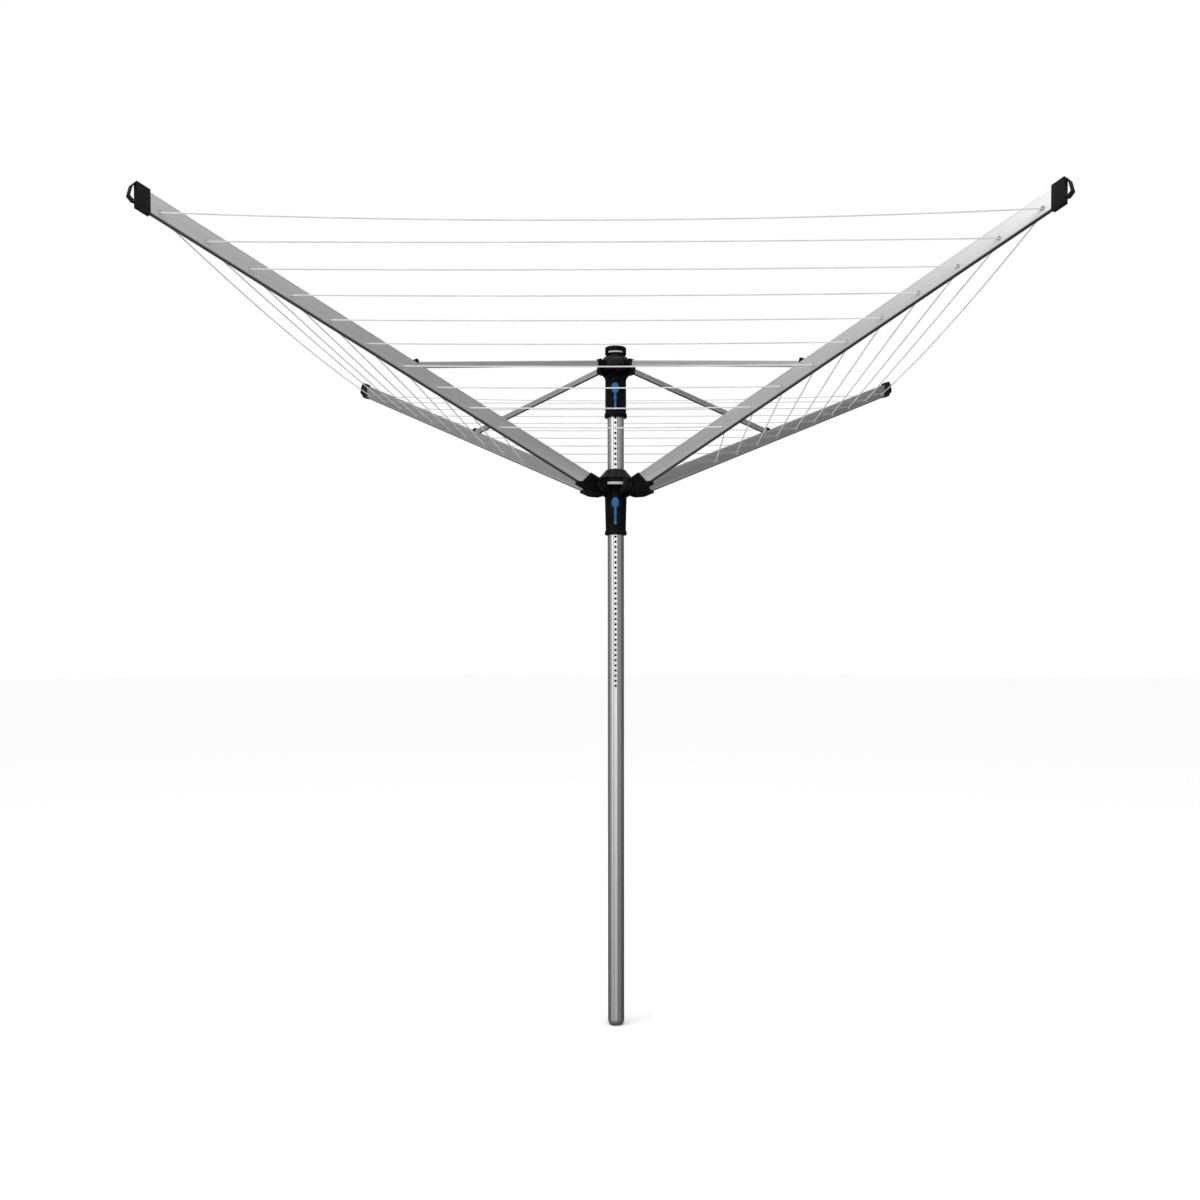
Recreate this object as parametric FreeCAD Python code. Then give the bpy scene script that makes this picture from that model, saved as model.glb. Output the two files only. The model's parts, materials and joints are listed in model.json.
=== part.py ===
"""Rotary clothesline: a turning post, two hubs that slide on it, and four arms that fold like an umbrella.

Millimetres, +Z up. The origin is the middle of the foot's underside. The arms stand on the four
diagonals, and the hole row and both release levers face -Y. The part is modelled open, ready for use.
"""
import math
import os

import FreeCAD
import Part
from FreeCAD import Vector

# --- Post ---------------------------------------------------------------------------------------
POST_R = 25.0
POST_WALL = 1.8
POST_BOTTOM = 16.0
POST_TOP = 2047.0
GROOVE_HALF = 6.0           # half the width of the flat groove down the front
GROOVE_DEPTH = 1.4          # at the middle of the groove
HOLE_R = 3.75
HOLE_PITCH = 15.6
LOWEST_HOLE = 1046.0
HOLE_COUNT = 60
LOWER_LATCH_HOLE = 32       # counted from the lowest hole
UPPER_LATCH_HOLE = 54
SOCKET_DEPTH = 300.0        # the ring mark: how deep the post goes into its ground socket
RING_MARK_WIDTH = 2.0
RING_MARK_DEPTH = 0.3

# --- Foot ---------------------------------------------------------------------------------------
FOOT_R = 24.4
FOOT_TIP_R = 19.0
FOOT_TAPER = 9.0
FOOT_HEIGHT = 14.0
WASHER_THICK = 1.6
SPINDLE_R = 10.0
SPINDLE_TOP = 62.0
FOOT_BUSH_TOP = 66.0
RUNNING_GAP = 0.06          # radial, between a shaft and its bush
PLUG_GAP = 0.05             # radial, between a fixed plug and its tube

# --- Knob on top --------------------------------------------------------------------------------
KNOB_R = 32.2
KNOB_TAPER = 3.5
KNOB_WALL_BOTTOM = 2050.5   # below it the knob tapers in to the post
KNOB_TOP = 2072.0
KNOB_SPIGOT = 30.0          # depth of the plug inside the post
INLAY_BOTTOM = 2051.4
INLAY_TOP = 2055.8
INLAY_HALF = 21.0           # half its width
INLAY_DEPTH = 1.0
INLAY_PROUD = 0.2

# --- Arms ---------------------------------------------------------------------------------------
ARM_ANGLE = 20.64           # above the horizontal
ARM_PIVOT_R = 75.0
ARM_PIVOT_Z = 1661.0
ARM_WIDTH = 14.0
ARM_HEIGHT = 44.0
ARM_WALL = 1.4
ARM_TOP = 7.0               # the arm's top edge above its pivot line
ARM_START = 14.0            # along the arm, from its pivot
ARM_END = 1438.0
LINE_COUNT = 10
LINE_PITCH = 112.0
LINE_FIRST = 1393.0         # the outermost hole, along the arm from its pivot
LINE_DROP = 22.5            # the holes lie this far below the pivot line
LINE_R = 1.75
EYELET_BORE_R = 4.0
EYELET_BARREL_R = 4.6
EYELET_FLANGE_R = 6.0
EYELET_FLANGE = 0.8
STRUT_ON_ARM = 690.0        # along the arm, where the strut is riveted

# --- End caps -----------------------------------------------------------------------------------
CAP_HALF = 9.3
CAP_INNER_R = 1407.0
CAP_OUTER_R = 1437.0
CAP_ABOVE = 5.0             # how far the cap stands above the arm's top edge
CAP_BELOW = 2.5
LOOP_HALF = 7.0

# --- Struts -------------------------------------------------------------------------------------
STRUT_PIVOT_R = 42.0
STRUT_PIVOT_Z = 2018.2
STRUT_WIDTH = 10.0
STRUT_HEIGHT = 17.0
STRUT_WALL = 1.2
STRUT_RIVET_R = 2.5
STRUT_PLUG = 22.0           # how far each end fitting reaches into the bar
STRUT_BAR_START = 34.0      # along the strut, from its inner pivot
STRUT_BAR_MARGIN = 14.0     # from the bar's end to the rivet
HUB_PIN_R = 2.5
STRUT_PIN_HALF = 11.5

# --- Root sockets and the lugs that hold them ---------------------------------------------------
SOCKET_HALF = 9.3
SOCKET_RIVETS = [(26.0, -6.0), (42.0, -28.0)]
SOCKET_RIVET_R = 2.0
SOCKET_RIVET_HEAD_R = 3.4
LUG_GAP_HALF = 10.2
LUG_THICK = 5.0
ARM_PIN_R = 4.0
ARM_PIN_HEAD_R = 6.0
ARM_PIN_HEAD = 1.6

# --- Hubs ---------------------------------------------------------------------------------------
BUSH_R = 28.0
BUSH_INSET = 2.0            # the sliding sleeve ends this far inside its hub
UPPER_HUB_BOTTOM = 1860.0
UPPER_HUB_TOP = 2026.0
UPPER_FLANGE_R = 58.0
LOWER_HUB_BOTTOM = 1505.0
LOWER_HUB_TOP = 1675.5
LOWER_RIM_R = 50.5
LOWER_RIM_BOTTOM = 1650.0
BADGE_BOTTOM = 1653.5
BADGE_TOP = 1661.0
BADGE_HALF = 23.5
BADGE_PROUD = 1.2
SCREW_AZIMUTHS = (0.0, 90.0, 180.0)
SCREW_R = 1.6
SCREW_HEAD_R = 3.0
SCREW_HEAD = 3.0
SCREW_SEAT_R = 3.4
UPPER_SCREW_AT = 38.0       # radius on which the cover's screws stand
UPPER_SCREW_SEAT = 1992.0
UPPER_SCREW_TIP = 2033.0
LOWER_SCREW_AT = 36.0
LOWER_SCREW_SEAT = 1668.0
LOWER_SCREW_TIP = 1684.5

# --- Release levers -----------------------------------------------------------------------------
PAD_HALF_HEIGHT = 16.5
PAD_HALF_WIDTH = 11.2
PAD_THICK = 5.5
LEVER_PIVOT_BELOW_PAD = 30.0
LEVER_TOOTH_BELOW_PAD = 54.5
LEVER_END_BELOW_TOOTH = 10.5
LEVER_Y = -35.0
LEVER_PIN_R = 1.5
LEVER_PIN_HALF = 9.0
STEM_ROOM = 4.2             # half the width of the slot the stem swings in

CORNERS = {"front_left": -135.0, "front_right": -45.0, "back_right": 45.0, "back_left": 135.0}
LINE_SIDES = {"front_left": "front", "front_right": "right", "back_right": "back", "back_left": "left"}


# --- Helpers ------------------------------------------------------------------------------------
def outline(points):
    """A closed wire in the XZ plane. (x, z) is a straight edge, (mid x, mid z, x, z) is an arc."""
    start = Vector(points[0][0], 0, points[0][1])
    here = start
    edges = []
    for point in list(points[1:]) + [points[0][-2:]]:
        end = Vector(point[-2], 0, point[-1])
        if len(point) == 4:
            edges.append(Part.Arc(here, Vector(point[0], 0, point[1]), end).toShape())
        elif (end - here).Length > 1e-6:
            edges.append(Part.LineSegment(here, end).toShape())
        here = end
    return Part.Wire(edges)


def plate(points, half):
    """A side outline in XZ, given its thickness along Y, half each way."""
    face = Part.Face(outline(points))
    face.translate(Vector(0, -half, 0))
    return face.extrude(Vector(0, 2 * half, 0))


def lathe(points):
    """An outline of (radius, z) points turned about the post's axis."""
    return Part.Face(outline(points)).revolve(Vector(0, 0, 0), Vector(0, 0, 1), 360)


def box(x0, x1, y0, y1, z0, z1):
    return Part.makeBox(x1 - x0, y1 - y0, z1 - z0, Vector(x0, y0, z0))


def rod(radius, start, end):
    """A round bar between two points."""
    a = Vector(*start)
    b = Vector(*end)
    return Part.makeCylinder(radius, (b - a).Length, a, b - a)


def rod_across(radius, x, z, half):
    """A round bar along Y, centred on the side view's plane."""
    return rod(radius, (x, -half, z), (x, half, z))


def turned(shape, azimuth):
    copy = shape.copy()
    copy.rotate(Vector(0, 0, 0), Vector(0, 0, 1), azimuth)
    return copy


def all_round(shape, count=4, start=45.0):
    return [turned(shape, start + i * 360.0 / count) for i in range(count)]


def on_arm(shape, azimuth):
    """From the arm's own frame (x along it from its pivot, z square to it) to its place."""
    copy = shape.copy()
    copy.rotate(Vector(0, 0, 0), Vector(0, 1, 0), -ARM_ANGLE)
    copy.translate(Vector(ARM_PIVOT_R, 0, ARM_PIVOT_Z))
    return turned(copy, azimuth)


def on_strut(shape, azimuth):
    """From the strut's own frame (x along it from its inner pivot) to its place."""
    copy = shape.copy()
    copy.rotate(Vector(0, 0, 0), Vector(0, 1, 0), STRUT_ANGLE)
    copy.translate(Vector(STRUT_PIVOT_R, 0, STRUT_PIVOT_Z))
    return turned(copy, azimuth)


def arm_point(along, above):
    """Radius and height of a point of the arm, in the open position."""
    tilt = math.radians(ARM_ANGLE)
    return (
        ARM_PIVOT_R + along * math.cos(tilt) - above * math.sin(tilt),
        ARM_PIVOT_Z + along * math.sin(tilt) + above * math.cos(tilt),
    )


def save(name, shapes):
    """Write one sub-part. A list of solids stays a group of separate solids."""
    solids = shapes if isinstance(shapes, list) else [shapes]
    solids = [solid for shape in solids for solid in shape.Solids]
    shape = solids[0] if len(solids) == 1 else Part.makeCompound(solids)
    if not shape.isValid():
        print("INVALID", name)
    shape.exportStep("parts/" + name + ".step")
    print(f"{name:34s} solids {len(solids):2d}  volume {shape.Volume / 1000:9.2f} cm3")


# --- Where the strut's far end lies ---------------------------------------------------------------
RIVET_R, RIVET_Z = arm_point(STRUT_ON_ARM, 0.0)
STRUT_LENGTH = math.hypot(RIVET_R - STRUT_PIVOT_R, STRUT_PIVOT_Z - RIVET_Z)
STRUT_ANGLE = math.degrees(math.atan2(STRUT_PIVOT_Z - RIVET_Z, RIVET_R - STRUT_PIVOT_R))
STRUT_BAR_END = STRUT_LENGTH - STRUT_BAR_MARGIN
LINE_STATIONS = [LINE_FIRST - i * LINE_PITCH for i in range(LINE_COUNT)]
ARM_BOTTOM = ARM_TOP - ARM_HEIGHT
HALF_ARM = ARM_WIDTH / 2


# --- Post and foot --------------------------------------------------------------------------------
def post():
    inner_r = POST_R - POST_WALL
    groove_y = -POST_R + GROOVE_DEPTH
    tube = Part.makeCylinder(POST_R, POST_TOP - POST_BOTTOM, Vector(0, 0, POST_BOTTOM))
    tube = tube.cut(box(-GROOVE_HALF, GROOVE_HALF, -POST_R - 1, groove_y, 0, POST_TOP + 1))
    inside = Part.makeCylinder(inner_r, POST_TOP, Vector(0, 0, 0))
    rib_half = GROOVE_HALF + POST_WALL
    inside = inside.cut(box(-rib_half, rib_half, -POST_R, groove_y + POST_WALL, -1, POST_TOP + 1))
    tube = tube.cut(inside)
    holes = [
        rod(HOLE_R, (0, -POST_R - 1, LOWEST_HOLE + i * HOLE_PITCH), (0, 0, LOWEST_HOLE + i * HOLE_PITCH))
        for i in range(HOLE_COUNT)
    ]
    tube = tube.cut(Part.makeCompound(holes))
    ring = Part.makeCylinder(POST_R + 1, RING_MARK_WIDTH, Vector(0, 0, SOCKET_DEPTH))
    ring = ring.cut(Part.makeCylinder(POST_R - RING_MARK_DEPTH, RING_MARK_WIDTH, Vector(0, 0, SOCKET_DEPTH)))
    return tube.cut(ring)


def groove_flat():
    """What the flat behind the post's groove takes from a plug inside the post."""
    flat_y = -POST_R + GROOVE_DEPTH + POST_WALL + PLUG_GAP
    return box(-POST_R, POST_R, -POST_R, flat_y, 0, POST_TOP)


def foot_bearing():
    return lathe([
        (0, 0), (FOOT_TIP_R, 0), (FOOT_R, FOOT_TAPER), (FOOT_R, FOOT_HEIGHT),
        (SPINDLE_R, FOOT_HEIGHT), (SPINDLE_R, SPINDLE_TOP - 2),
        (SPINDLE_R - 2, SPINDLE_TOP), (0, SPINDLE_TOP),
    ])


def thrust_washer():
    return lathe([
        (SPINDLE_R + 0.4, FOOT_HEIGHT), (POST_R - 1.0, FOOT_HEIGHT),
        (POST_R - 1.0, FOOT_HEIGHT + WASHER_THICK), (SPINDLE_R + 0.4, FOOT_HEIGHT + WASHER_THICK),
    ])


def foot_bush():
    """A plug pressed into the post's lower end, which turns on the foot's spindle."""
    bore = SPINDLE_R + RUNNING_GAP
    outer = POST_R - POST_WALL - PLUG_GAP
    ring = lathe([
        (bore, POST_BOTTOM), (outer, POST_BOTTOM), (outer, FOOT_BUSH_TOP), (bore, FOOT_BUSH_TOP),
    ])
    return ring.cut(groove_flat())


def top_knob():
    spigot_r = POST_R - POST_WALL - PLUG_GAP
    spigot_bottom = POST_TOP - KNOB_SPIGOT
    knob = lathe([
        (0, spigot_bottom), (spigot_r, spigot_bottom), (spigot_r, POST_TOP),
        (KNOB_R - KNOB_TAPER, POST_TOP), (KNOB_R, KNOB_WALL_BOTTOM), (KNOB_R, KNOB_TOP - 4.0),
        (KNOB_R - 1.2, KNOB_TOP - 1.2, KNOB_R - 4.0, KNOB_TOP), (0, KNOB_TOP),
    ])
    return knob.cut(groove_flat()).cut(top_knob_inlay())


def top_knob_inlay():
    """A plain band let into the knob's front, standing a little proud."""
    inner = KNOB_R - INLAY_DEPTH
    outer = KNOB_R + INLAY_PROUD
    band = lathe([(inner, INLAY_BOTTOM), (outer, INLAY_BOTTOM), (outer, INLAY_TOP), (inner, INLAY_TOP)])
    return band.common(box(-INLAY_HALF, INLAY_HALF, -outer, 0, INLAY_BOTTOM, INLAY_TOP))


# --- Arms -----------------------------------------------------------------------------------------
def channel(length, width, height, wall, corner):
    """An open-topped channel along X, its floor at z 0, with rounded lower corners."""
    half = width / 2
    outer = box(0, length, -half, half, 0, height)
    inner = box(-1, length + 1, -half + wall, half - wall, wall, height + 1)
    outer = outer.makeFillet(corner, low_edges(outer, 0))
    inner = inner.makeFillet(corner - wall, low_edges(inner, wall))
    return outer.cut(inner)


def low_edges(shape, z):
    """The lengthwise edges of a box at height z."""
    found = []
    for edge in shape.Edges:
        bounds = edge.BoundBox
        if abs(bounds.ZMin - z) < 1e-6 and abs(bounds.ZMax - z) < 1e-6 and bounds.XLength > 1:
            found.append(edge)
    return found


def arm_envelope():
    shape = box(ARM_START, ARM_END, -HALF_ARM, HALF_ARM, ARM_BOTTOM, ARM_TOP)
    return shape.makeFillet(4.0, low_edges(shape, ARM_BOTTOM))


def arm_channel():
    shape = channel(ARM_END - ARM_START, ARM_WIDTH, ARM_HEIGHT, ARM_WALL, 4.0)
    shape.translate(Vector(ARM_START, 0, ARM_BOTTOM))
    holes = [rod_across(EYELET_BARREL_R, x, -LINE_DROP, HALF_ARM + 1) for x in LINE_STATIONS]
    holes.append(rod_across(STRUT_RIVET_R, STRUT_ON_ARM, 0, HALF_ARM + 1))
    holes += [rod_across(SOCKET_RIVET_R, x, z, HALF_ARM + 1) for x, z in SOCKET_RIVETS]
    return shape.cut(Part.makeCompound(holes))


def eyelets():
    """Flanged rings in both side walls, one pair for each line."""
    inside = HALF_ARM - ARM_WALL
    outside = HALF_ARM + EYELET_FLANGE
    ring = rod(EYELET_BARREL_R, (0, inside, 0), (0, HALF_ARM, 0))
    flange = Part.makeCylinder(EYELET_FLANGE_R, EYELET_FLANGE, Vector(0, HALF_ARM, 0), Vector(0, 1, 0))
    rim = [edge for edge in flange.Edges if abs(edge.BoundBox.YMin - outside) < 1e-6]
    flange = flange.makeFillet(0.5, rim)
    ring = ring.fuse(flange).cut(rod(EYELET_BORE_R, (0, 0, 0), (0, outside + 1, 0)))
    rings = []
    for x in LINE_STATIONS:
        for side in (0, 180):
            copy = turned(ring, side)
            copy.translate(Vector(x, 0, -LINE_DROP))
            rings.append(copy)
    return rings


def root_socket():
    """The moulded shoe that closes the arm's inner end and holds its pivot."""
    body = plate([
        (0, 10), (38, 10), (60, -30), (70, -33), (71, -42.5), (26, -42.5), (-2, -35.5),
    ], SOCKET_HALF)
    body = body.fuse(rod_across(12.0, 0, 0, SOCKET_HALF))
    body = body.fuse(rod_across(16.5, -1, -17, SOCKET_HALF))
    body = body.cut(arm_envelope())
    holes = [rod_across(ARM_PIN_R + 0.4, 0, 0, SOCKET_HALF + 1)]
    holes += [rod_across(SOCKET_RIVET_R, x, z, SOCKET_HALF + 1) for x, z in SOCKET_RIVETS]
    return body.cut(Part.makeCompound(holes))


def rivet(radius, head_r, x, z, half, head):
    """A rivet across the part, with a low domed head outside each wall."""
    shape = rod_across(radius, x, z, half)
    for side in (-1, 1):
        cap = Part.makeCylinder(head_r, head, Vector(x, side * half, z), Vector(0, side, 0))
        rim = [edge for edge in cap.Edges if abs(abs(edge.BoundBox.Center.y) - half - head) < 1e-6]
        shape = shape.fuse(cap.makeFillet(head * 0.7, rim))
    return shape


def arm_rivets():
    shapes = [rivet(STRUT_RIVET_R, 4.2, STRUT_ON_ARM, 0, HALF_ARM, 1.0)]
    for x, z in SOCKET_RIVETS:
        shapes.append(rivet(SOCKET_RIVET_R, SOCKET_RIVET_HEAD_R, x, z, SOCKET_HALF, 0.8))
    return shapes


def end_cap():
    """The plastic cap, with upright ends and a small triangular loop beyond it. In the arm's place."""
    tilt = math.tan(math.radians(ARM_ANGLE))
    inner_top = arm_point(0, ARM_TOP + CAP_ABOVE)
    inner_bottom = arm_point(0, ARM_BOTTOM - CAP_BELOW)

    def height(point, radius):
        return point[1] + (radius - point[0]) * tilt

    body = plate([
        (CAP_INNER_R, height(inner_bottom, CAP_INNER_R)), (CAP_OUTER_R, height(inner_bottom, CAP_OUTER_R)),
        (CAP_OUTER_R, height(inner_top, CAP_OUTER_R)), (CAP_INNER_R, height(inner_top, CAP_INNER_R)),
    ], CAP_HALF)
    outer_corners = []
    for edge in body.Edges:
        bounds = edge.BoundBox
        if bounds.YLength < 1e-6 and bounds.XLength < 1e-6 and bounds.XMin > CAP_OUTER_R - 1:
            outer_corners.append(edge)
    body = body.makeFillet(1.5, outer_corners)
    top = height(inner_top, CAP_OUTER_R)
    loop = plate([
        (CAP_OUTER_R - 4, top - 1), (CAP_OUTER_R, top), (CAP_OUTER_R + 11, top - 11),
        (CAP_OUTER_R + 18, top - 35), (CAP_OUTER_R + 7.5, top - 46), (CAP_OUTER_R - 4, top - 46),
    ], LOOP_HALF)
    window = plate([
        (CAP_OUTER_R, top - 5.5), (CAP_OUTER_R + 8, top - 13.5), (CAP_OUTER_R + 13.5, top - 34),
        (CAP_OUTER_R + 5.5, top - 41.5), (CAP_OUTER_R, top - 41.5),
    ], LOOP_HALF + 1)
    shape = body.fuse(loop.cut(window))
    tube = arm_envelope()
    tube.rotate(Vector(0, 0, 0), Vector(0, 1, 0), -ARM_ANGLE)
    tube.translate(Vector(ARM_PIVOT_R, 0, ARM_PIVOT_Z))
    return shape.cut(tube)


def side_lines(azimuth):
    """The ten stretches of line from one arm to the next, each at its own height."""
    shapes = []
    end_gap = LINE_R + 0.2
    for along in LINE_STATIONS:
        radius, z = arm_point(along, -LINE_DROP)
        corner = radius + HALF_ARM
        ends = [
            Vector(corner * math.cos(math.radians(a)), corner * math.sin(math.radians(a)), z)
            for a in (azimuth, azimuth + 90)
        ]
        way = (ends[1] - ends[0]).normalize()
        shapes.append(rod(LINE_R, ends[0] + way * end_gap, ends[1] - way * end_gap))
    return shapes


# --- Struts ---------------------------------------------------------------------------------------
def strut_bar():
    """A channel that is open below."""
    shape = channel(STRUT_BAR_END - STRUT_BAR_START, STRUT_WIDTH, STRUT_HEIGHT, STRUT_WALL, 2.2)
    shape.rotate(Vector(0, 0, 0), Vector(1, 0, 0), 180)
    shape.translate(Vector(STRUT_BAR_START, 0, STRUT_HEIGHT / 2))
    return shape


def plug(x0, x1):
    """The part of an end fitting that sits inside the strut's channel."""
    half = STRUT_WIDTH / 2 - STRUT_WALL - 0.05
    top = STRUT_HEIGHT / 2 - STRUT_WALL - 0.1
    shape = box(x0, x1, -half, half, -STRUT_HEIGHT / 2, top)
    edges = [
        edge for edge in shape.Edges
        if abs(edge.BoundBox.ZMin - top) < 1e-6 and abs(edge.BoundBox.ZMax - top) < 1e-6
        and edge.BoundBox.YLength < 1e-6
    ]
    return shape.makeFillet(1.2, edges)


def strut_inner_end():
    """The black fork end that turns in the upper hub, with a small stop on top."""
    half = 7.2
    body = plate([
        (0, -8.3), (STRUT_BAR_START, -9.8), (STRUT_BAR_START, 10.5), (22, 14), (18, 9.5), (0, 8.3),
    ], half)
    body = body.fuse(rod_across(8.3, 0, 0, half))
    body = body.fuse(plug(STRUT_BAR_START - 1, STRUT_BAR_START + STRUT_PLUG))
    return body.cut(rod_across(HUB_PIN_R + RUNNING_GAP, 0, 0, half + 1))


def strut_outer_end():
    """The black eye that turns on the arm's rivet, with a hump that stands above the arm."""
    end = STRUT_LENGTH
    half = STRUT_WIDTH / 2
    low = -STRUT_HEIGHT / 2
    body = plate([
        (STRUT_BAR_END, low), (end, low + 0.5), (end, 8), (end + 5.0, 11), (end - 9.5, 15.6),
        (STRUT_BAR_END, 12.5),
    ], half)
    body = body.fuse(rod_across(8.0, end, 0, half))
    body = body.fuse(plug(STRUT_BAR_END - STRUT_PLUG, STRUT_BAR_END + 1))
    return body.cut(rod_across(STRUT_RIVET_R + RUNNING_GAP, end, 0, half + 1))


# --- Release levers -------------------------------------------------------------------------------
def lever_heights(latch_hole):
    """Heights of the pad's middle, the pivot and the tooth of the lever that latches at this hole."""
    tooth = LOWEST_HOLE + latch_hole * HOLE_PITCH
    pad = tooth + LEVER_TOOTH_BELOW_PAD
    return pad, pad - LEVER_PIVOT_BELOW_PAD, tooth


def release_lever(latch_hole):
    """Oval thumb pad, narrow stem and a tooth that points at the post's holes."""
    pad, pivot, tooth = lever_heights(latch_hole)
    oval = Part.Ellipse(Vector(0, 0, 0), PAD_HALF_HEIGHT, PAD_HALF_WIDTH).toShape()
    shape = Part.Face(Part.Wire([oval])).extrude(Vector(0, 0, PAD_THICK))
    front = [edge for edge in shape.Edges if edge.BoundBox.ZMin > PAD_THICK - 0.1]
    shape = shape.makeFillet(2.4, front)
    shape.rotate(Vector(0, 0, 0), Vector(0, 0, 1), 90)
    shape.rotate(Vector(0, 0, 0), Vector(1, 0, 0), 90)
    shape.translate(Vector(0, -35.5, pad))
    stem = box(-3.5, 3.5, -38.5, -33.5, tooth - LEVER_END_BELOW_TOOTH, pad - 8)
    boss = rod(3.4, (-3.5, LEVER_Y, pivot), (3.5, LEVER_Y, pivot))
    arm = box(-2.8, 2.8, -34.5, -POST_R + 1.0, tooth - 2.6, tooth + 2.6)
    shape = shape.fuse(stem).fuse(boss).fuse(arm)
    return shape.cut(rod(LEVER_PIN_R + RUNNING_GAP, (-20, LEVER_Y, pivot), (20, LEVER_Y, pivot)))


def lever_pin(latch_hole):
    pivot = lever_heights(latch_hole)[1]
    return rod(LEVER_PIN_R, (-LEVER_PIN_HALF, LEVER_Y, pivot), (LEVER_PIN_HALF, LEVER_Y, pivot))


def lever_spring(latch_hole):
    """A bent leaf between the pad and the pocket's floor, seen from the side in YZ."""
    pad = lever_heights(latch_hole)[0]
    leaf = plate([
        (30.4, pad - 14), (29.9, pad - 14), (29.9, pad - 5),
        (35.2, pad + 9), (35.5, pad + 8.4), (30.4, pad - 5.4),
    ], 3.0)
    leaf.rotate(Vector(0, 0, 0), Vector(0, 0, 1), -90)
    return leaf


def lever_room(latch_hole):
    """What is cut from a hub so that its lever can swing: pad pocket, stem slot and tooth window."""
    pad, pivot, tooth = lever_heights(latch_hole)
    pocket = box(-12.6, 12.6, -45, -29.9, pad - 18.5, pad + 18.5)
    slot = box(-STEM_ROOM, STEM_ROOM, -45, -30.4, tooth - LEVER_END_BELOW_TOOTH - 2.5, pad - 12)
    window = box(-3.4, 3.4, -45, -POST_R + 2, tooth - 5.0, tooth + 5.0)
    return pocket.fuse(slot).fuse(window)


def lever_cheeks(latch_hole):
    """Two small ears on the hub's front that carry the lever's pin."""
    pivot = lever_heights(latch_hole)[1]
    ears = []
    for x0, x1 in ((-LEVER_PIN_HALF, -STEM_ROOM), (STEM_ROOM, LEVER_PIN_HALF)):
        ears.append(box(x0, x1, LEVER_Y - 3.0, -30.0, pivot - 5.0, pivot + 5.0))
    return ears[0].fuse(ears[1])


def slide_bush(bottom, top, latch_hole):
    """The inner sleeve that slides on the post, open in front of the tooth."""
    bore = POST_R + RUNNING_GAP
    tooth = lever_heights(latch_hole)[2]
    ring = lathe([(bore, bottom), (BUSH_R, bottom), (BUSH_R, top), (bore, top)])
    return ring.cut(box(-3.4, 3.4, -45, 0, tooth - 5.0, tooth + 5.0))


# --- Upper hub --------------------------------------------------------------------------------------
def upright(radius, at, bottom, top):
    """A round bar parallel to the post, at a distance from its axis."""
    return rod(radius, (at, 0, bottom), (at, 0, top))


def at_screws(shape):
    """Copies of a shape at the azimuths of a cover's screws."""
    return Part.makeCompound([turned(shape, azimuth) for azimuth in SCREW_AZIMUTHS])


def upper_housing():
    bottom = UPPER_HUB_BOTTOM
    body = lathe([
        (BUSH_R, bottom), (33.5, bottom), (34.2, bottom + 2), (34.2, bottom + 9), (31.8, bottom + 16),
        (31.8, 1965), (35.0, 1981, 48.0, 1991.5), (UPPER_FLANGE_R, 1995), (UPPER_FLANGE_R, 2004.5),
        (47.4, 2004.5), (47.4, 2014), (43.5, UPPER_HUB_TOP), (BUSH_R, UPPER_HUB_TOP),
    ])
    slot = box(32.8, 70, -7.9, 7.9, 1950, 2040)
    screw = upright(SCREW_R, UPPER_SCREW_AT, UPPER_SCREW_SEAT - 1, UPPER_HUB_TOP + 1)
    seat = upright(SCREW_SEAT_R, UPPER_SCREW_AT, 1960, UPPER_SCREW_SEAT)
    body = body.fuse(lever_cheeks(UPPER_LATCH_HOLE))
    body = body.cut(Part.makeCompound(all_round(slot))).cut(Part.makeCompound(strut_pins()))
    body = body.cut(at_screws(screw)).cut(at_screws(seat))
    body = body.cut(lever_room(UPPER_LATCH_HOLE))
    body = body.cut(lever_pin(UPPER_LATCH_HOLE))
    return body.cut(Part.makeCylinder(BUSH_R, 300, Vector(0, 0, 1800)))


def upper_cover():
    """The domed cover over the strut pins, open above for the post and slotted for the struts."""
    bore = BUSH_R - 2.4
    shell = lathe([
        (bore, 2027.0), (43.9, 2027.0), (48.0, 2014.5), (48.0, 2006.0), (52.2, 2006.0),
        (52.2, 2010.0), (43.7, 2031.0, 28.5, 2045.5), (bore, 2045.5),
    ])
    slot = box(32.8, 70, -8.3, 8.3, 2000, 2036)
    hole = upright(SCREW_R, UPPER_SCREW_AT, UPPER_HUB_TOP, UPPER_SCREW_TIP)
    return shell.cut(Part.makeCompound(all_round(slot))).cut(at_screws(hole))


def upper_screws():
    """Screws from below, through the flange into the cover."""
    shank = upright(SCREW_R, UPPER_SCREW_AT, UPPER_SCREW_SEAT, UPPER_SCREW_TIP)
    head = upright(SCREW_HEAD_R, UPPER_SCREW_AT, UPPER_SCREW_SEAT - SCREW_HEAD, UPPER_SCREW_SEAT)
    return at_screws(shank.fuse(head))


def strut_pins():
    return all_round(rod_across(HUB_PIN_R, STRUT_PIVOT_R, STRUT_PIVOT_Z, STRUT_PIN_HALF))


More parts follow.
